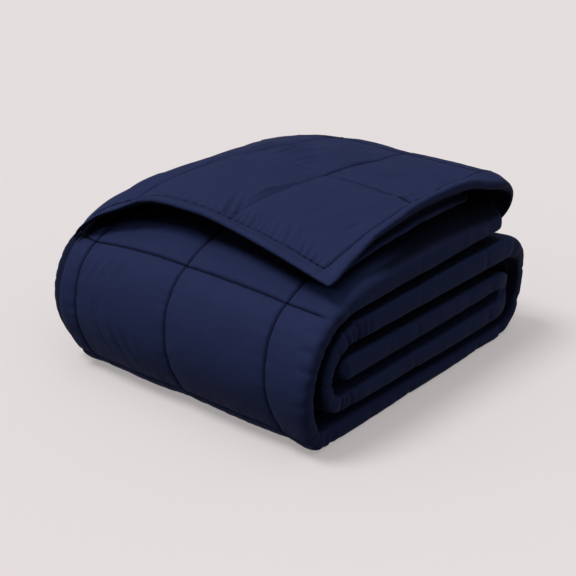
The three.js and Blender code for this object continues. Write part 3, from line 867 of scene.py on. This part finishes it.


def gap_shade(spot, part, x):
    """How much painted shade the gaps between layers put on one part of an outline, from 0 to 1."""
    s, flap = spot.along, spot.flap
    is_inside = float(s < SPANS["outer back"][0])
    turned = ramp(s, SPANS["flap back"][0], TURN_BLEND)
    if part == 0:
        # Painted shadow of the flap on the top layer; hidden outer faces of inner layers and the flap's
        # underside are painted dark.
        lit_end = ramp(x, *LIT_END_REACH) * (1 - ramp(s, *COVER_ALL_REACH))
        covered = ramp(s, np.interp(x, *zip(*COVER_LINE)), COVER_BLEND) * (1 - lit_end)
        return np.maximum(covered, max(is_inside, flap))
    # The hidden inner face is painted dark, except where the flap is turned back.
    if part == 2:
        return np.full(len(x), 1 - turned)
    if part == 1:
        side, border, far_border = "left", LEFT_BORDER, ARC_BORDER
        far_hidden, hem_hidden, in_flap = 1 - flap, is_inside, 0.0
    else:
        start, end = SPANS["outer back"]
        at_back = smooth(2 - 4 * abs(s - (start + end) / 2) / (end - start))  # 1 in the fold's middle half
        under_flap = ramp(s, *TOP_BORDER_REACH)
        side, border = "right", mix(mix(ARC_BORDER, BACK_BORDER, at_back), FLAP_BORDER, flap)
        far_border, far_hidden = mix(ARC_BORDER, TOP_BORDER, under_flap), max(is_inside, flap, under_flap)
        hem_hidden, in_flap = 1 - ramp(s, *HEM_LIT_REACH), turned * ramp(s, *INSIDE_REACH)
    count = ARC_POINTS[side + "_fold"]
    on_arc = np.arange(1, count + 1) / (count + 1)
    far_side = far_hidden * ramp(on_arc, 1 - far_border, FAR_SHARE * far_border)
    fold = np.maximum.reduce([ramp(on_arc, border, -border), far_side, np.full(count, in_flap)])
    return np.concatenate([np.full(ARC_POINTS[side + "_hem"], hem_hidden), [1.0], fold])


def painted_shade_share(spot, part, x):
    """How much painted shade grooves and gaps put on the points of one part of an outline, from 0 to 1."""
    dark = GAP_SHADE * gap_shade(spot, part, x)
    if part in (0, 2):
        face = "outer" if part == 0 else "inner"
        across = np.abs(x - face_limits(spot, face)[0])
        # Painted shade in the grooves of the sewn lines.
        dark = np.maximum(dark, GROOVE_SHADE * line_strength(spot, face, across, x, GROOVE_SHADE_WIDE))
    return dark


# Thread: short stitches that lie in the grooves.
STITCH_PITCH = 4.6
STITCH_LENGTH = 2.8
STITCH_SIDES = 5
STITCH_LIFT = 0.65  # how high it lies in a groove of full depth
STITCH_RINGS = ((0, 0.25), (0.25, 0.85), (0.75, 0.85), (1, 0.25))  # place along it and radius
FIRST_STITCH = 0.5
LINE_STEP = 2
OUTER_THREAD = (1004, 1800)  # where the outer face shows, along the strip
THREAD_END_GAP = 16  # from the folded end to the last stitch of a line


def face_place(spot, face, across):
    """Places in space for the thread on a face, and the way out from it."""
    x, w = face_points(spot, face, across)
    way = 1 if face == "outer" else -1
    on = place(spot, x, w)
    out = place(spot, x, w + way) - on
    out = out / np.linalg.norm(out, axis=1)[:, None]
    return on + STITCH_LIFT * spot.lines * out, out


def line_along(face, number, start, stop):
    """Points of the sewn line with this number from the hem, along the strip."""
    rows = []
    for s in np.arange(start, stop, LINE_STEP):
        spot = station_at(s)
        across = np.array([spot.hem[face] + spot.box * number])
        rows.append([part[0] for part in face_place(spot, face, across)])
    rows = np.array(rows)
    return rows[:, 0], rows[:, 1]


def line_across(face, s):
    """Points of a sewn line across a face."""
    spot = station_at(s)
    hem_edge, fold_end, _, _ = face_limits(spot, face)
    start = HEM_ROUND if face == "outer" else spot.hem[face]
    stop = abs(fold_end - hem_edge) - THREAD_END_GAP
    if face == "inner" and s == SEWN_AT[-2]:
        stop = hem_edge - SHOWN_RIGHT_OF - HIDDEN_BLEND / 2
    return face_place(spot, face, np.arange(start, stop, LINE_STEP))


def sewn_lines():
    """Every sewn line that shows, as points and the way out from the cloth."""
    back_start = SPANS["flap back"][0]
    lines = []
    for number in range(LINES_ALONG):
        lines.append(line_along("outer", number, *OUTER_THREAD))
        stop = SHOWN_BEHIND - HIDDEN_BLEND / 2 if number == 1 else SEWN_AT[-1]
        lines.append(line_along("inner", number, back_start, stop))
    for s in SEWN_AT:
        if OUTER_THREAD[0] < s < OUTER_THREAD[1]:
            lines.append(line_across("outer", s))
        elif s > back_start:
            lines.append(line_across("inner", s))
    return lines


def make_thread():
    """All stitches as one mesh of small closed spindles."""
    points, faces = [], []
    sides, last = STITCH_SIDES, len(STITCH_RINGS) - 1
    angles = 2 * np.pi * np.arange(sides) / sides
    spindle = []
    for here in range(0, last * sides, sides):
        for k in range(sides):
            following = here + (k + 1) % sides
            spindle.append((here + k, following, following + sides, here + k + sides))
    spindle += [tuple(reversed(range(sides))), tuple(range(last * sides, (last + 1) * sides))]
    for on, out in sewn_lines():
        reached = lengths(on)
        for start in np.arange(FIRST_STITCH, reached[-1] - STITCH_LENGTH, STITCH_PITCH):
            ends = start, start + STITCH_LENGTH
            a, b = (np.array([np.interp(t, reached, on[:, k]) for k in range(3)]) for t in ends)
            up = np.array([np.interp(start, reached, out[:, k]) for k in range(3)])
            axis = unit(b - a)
            side = unit(np.cross(axis, up))
            up = np.cross(side, axis)
            first = len(points)
            for share, radius in STITCH_RINGS:
                middle = mix(a, b, share)
                points.extend(middle + radius * (math.cos(t) * side + math.sin(t) * up) for t in angles)
            faces.extend(tuple(first + k for k in face) for face in spindle)
    return points, faces


def mesh_object(name, points, faces, material):
    mesh = bpy.data.meshes.new(name)
    mesh.from_pydata((np.asarray(points) * MM).tolist(), [], faces)
    mesh.polygons.foreach_set("use_smooth", [True] * len(mesh.polygons))
    mesh.materials.append(material)
    mesh.update()
    piece = bpy.data.objects.new(name, mesh)
    scene.collection.objects.link(piece)
    return piece


# Materials, with sizes in metres and each number under the name of its socket.
CLOTH_COLOUR = (0.0180, 0.0255, 0.0765, 1)
CLOTH_DARK = (0.0155, 0.0220, 0.0665, 1)
# Painted shade, mixed into the cloth in its grooves and in the gaps between layers.
PAINTED_SHADE_COLOUR = (0.0022, 0.0032, 0.0100, 1)
THREAD_COLOUR = (0.0024, 0.0034, 0.0100, 1)
THREAD_DARK = (0.0014, 0.0020, 0.0060, 1)
CLOTH_SHADER = {
    "Specular IOR Level": 0.04, "Sheen Weight": 0.03, "Sheen Roughness": 0.45,
    "Sheen Tint": (0.55, 0.62, 0.9, 1),
}
THREAD_SHADER = {"Specular IOR Level": 0.05, "Roughness": 0.6}
FLOOR_SHADER = {
    "Base Color": (0.43, 0.403, 0.403, 1), "Roughness": 0.9, "Specular IOR Level": 0.1,
    "Emission Color": (0.305, 0.285, 0.285, 1), "Emission Strength": 1,
}
WAVES_TO_SCALE = 0.314  # scale of a wave texture whose waves are one metre long
WEAVE_PITCH = 0.0009
TWIST_PITCH = 0.0008
CRINKLE_SIZE = 0.007
CLOTH_WEAVE = {"Scale": WAVES_TO_SCALE / WEAVE_PITCH, "Distortion": 1.5, "Detail Scale": 0.6}


def set_values(node, values):
    for name, value in dict(values).items():
        node.inputs[name].default_value = value


def add_node(tree, kind, values=(), sources=(), **settings):
    """A shader node with its settings, its values and the outputs that lead into it."""
    node = tree.nodes.new("ShaderNode" + kind)
    for name, value in settings.items():
        setattr(node, name, value)
    set_values(node, values)
    for name, source in dict(sources).items():
        tree.links.new(source, node.inputs[name])
    return node


def add_colour(tree, texture, dark, light):
    """A colour between two that follows a texture."""
    sources = {"Factor": texture.outputs["Fac"]}
    return add_node(tree, "Mix", {"A": dark, "B": light}, sources, data_type="RGBA").outputs["Result"]


def new_material(name, values):
    material = bpy.data.materials.new(name)
    material.use_nodes = True
    shader = material.node_tree.nodes["Principled BSDF"]
    set_values(shader, values)
    return material, material.node_tree, shader


def cloth_material():
    material, tree, shader = new_material("navy_microfibre", CLOTH_SHADER)
    on_cloth = {"Vector": add_node(tree, "Attribute", attribute_name="cloth").outputs["Vector"]}
    tone = add_node(tree, "TexNoise", {"Scale": 28, "Detail": 4}, on_cloth)
    colour = add_colour(tree, tone, CLOTH_DARK, CLOTH_COLOUR)
    # Painted shade: the colour is mixed towards a near-black in the sewn lines' grooves and in the gaps
    # between layers.
    painted_shade = add_node(tree, "Attribute", attribute_name="painted_shade")
    sources = {"Factor": painted_shade.outputs["Fac"], "A": colour}
    sewn = add_node(tree, "Mix", {"B": PAINTED_SHADE_COLOUR}, sources, data_type="RGBA")
    tree.links.new(sewn.outputs["Result"], shader.inputs["Base Color"])
    bumps = {}
    for direction in "XY":
        threads = add_node(tree, "TexWave", CLOTH_WEAVE, on_cloth, bands_direction=direction)
        sources = {"Height": threads.outputs["Fac"], **bumps}
        bump = add_node(tree, "Bump", {"Strength": 0.35, "Distance": 0.0002}, sources)
        bumps = {"Normal": bump.outputs["Normal"]}
    crinkle = add_node(tree, "TexNoise", {"Scale": 1 / CRINKLE_SIZE, "Detail": 3}, on_cloth).outputs["Fac"]
    bump = add_node(tree, "Bump", {"Strength": 0.3, "Distance": 0.0007}, {"Height": crinkle, **bumps})
    tree.links.new(bump.outputs["Normal"], shader.inputs["Normal"])
    worn = add_node(tree, "MapRange", {"To Min": 0.6, "To Max": 0.8}, {"Value": crinkle})
    tree.links.new(worn.outputs["Result"], shader.inputs["Roughness"])
    return material


def thread_material():
    material, tree, shader = new_material("navy_thread", THREAD_SHADER)
    on_thread = {"Vector": add_node(tree, "TexCoord").outputs["Object"]}
    tone = add_node(tree, "TexNoise", {"Scale": 300}, on_thread)
    tree.links.new(add_colour(tree, tone, THREAD_DARK, THREAD_COLOUR), shader.inputs["Base Color"])
    scale = {"Scale": WAVES_TO_SCALE / TWIST_PITCH}
    twist = add_node(tree, "TexWave", scale, on_thread, bands_direction="DIAGONAL")
    bump = add_node(tree, "Bump", {"Strength": 0.5, "Distance": 0.0002}, {"Height": twist.outputs["Fac"]})
    tree.links.new(bump.outputs["Normal"], shader.inputs["Normal"])
    return material


points, cloth_places, painted_shades, faces = make_cloth()
comforter = mesh_object("comforter_cloth", points, faces, cloth_material())
attribute = comforter.data.attributes.new("cloth", "FLOAT_VECTOR", "POINT")
attribute.data.foreach_set("vector", (cloth_places * (MM, MM, 1.0)).ravel())
# The painted shade of grooves and gaps at each point, which the cloth's colour follows.
attribute = comforter.data.attributes.new("painted_shade", "FLOAT", "POINT")
attribute.data.foreach_set("value", painted_shades)
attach(comforter, "root")
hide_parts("comforter")

thread = mesh_object("comforter_thread", *make_thread(), thread_material())
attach(thread, "root")

# Floor, with a glow that stands for the light of the room in the shadow on it.
FLOOR_HALF = 6000
corners = [(x * FLOOR_HALF, y * FLOOR_HALF, 0.0) for x, y in ((-1, -1), (1, -1), (1, 1), (-1, 1))]
floor = mesh_object("floor", corners, [(0, 1, 2, 3)], new_material("floor_paper", FLOOR_SHADER)[0])
floor.visible_diffuse = False

# Camera.
AZIMUTH = math.radians(39.39)
ELEVATION = math.radians(24.71)
DISTANCE = 1.8403
LOOK_AT = Vector((-0.1040, 0.1185, 0))
level = math.cos(ELEVATION)
back = Vector((math.sin(AZIMUTH) * level, -math.cos(AZIMUTH) * level, math.sin(ELEVATION)))
camera_data = bpy.data.cameras.new("camera")
camera_data.lens = 90.0
camera_data.sensor_width = 36.0
camera = bpy.data.objects.new("camera", camera_data)
camera.location = LOOK_AT + back * DISTANCE
camera.rotation_mode = "QUATERNION"
camera.rotation_quaternion = (-back).to_track_quat("-Z", "Y")
scene.collection.objects.link(camera)
scene.camera = camera

# Light: a pale room that is brightest overhead, a broad key light from above and two weak soft lights.
SKY = 0.72
SKY_RANGE = {"From Min": 0.2, "From Max": 1, "To Min": 0.03 * SKY, "To Max": SKY}
scene.view_settings.view_transform = "Standard"
world = bpy.data.worlds.new("room")
world.use_nodes = True
tree = world.node_tree
way = add_node(tree, "TexCoord")
split = add_node(tree, "SeparateXYZ", sources={"Vector": way.outputs["Generated"]})
rise = add_node(tree, "MapRange", SKY_RANGE, {"Value": split.outputs["Z"]})
tree.links.new(rise.outputs["Result"], tree.nodes["Background"].inputs["Strength"])
set_values(tree.nodes["Background"], {"Color": (1.0, 1.0, 1.0, 1)})
scene.world = world

# Name, place it shines from, strength and softness in degrees.
LIGHTS = (
    ("key", (-0.26, -0.4, 1), 1.9, 20),
    ("fill", (-0.6, -0.9, 0.38), 0.42, 60),
    ("right", (0.75, -0.45, 1), 0.3, 60),
)
for name, shines_from, strength, softness in LIGHTS:
    light = bpy.data.lights.new(name, "SUN")
    light.energy = strength
    light.angle = math.radians(softness)
    lamp = bpy.data.objects.new(name, light)
    lamp.rotation_mode = "QUATERNION"
    lamp.rotation_quaternion = Vector(shines_from).to_track_quat("Z", "Y")
    scene.collection.objects.link(lamp)
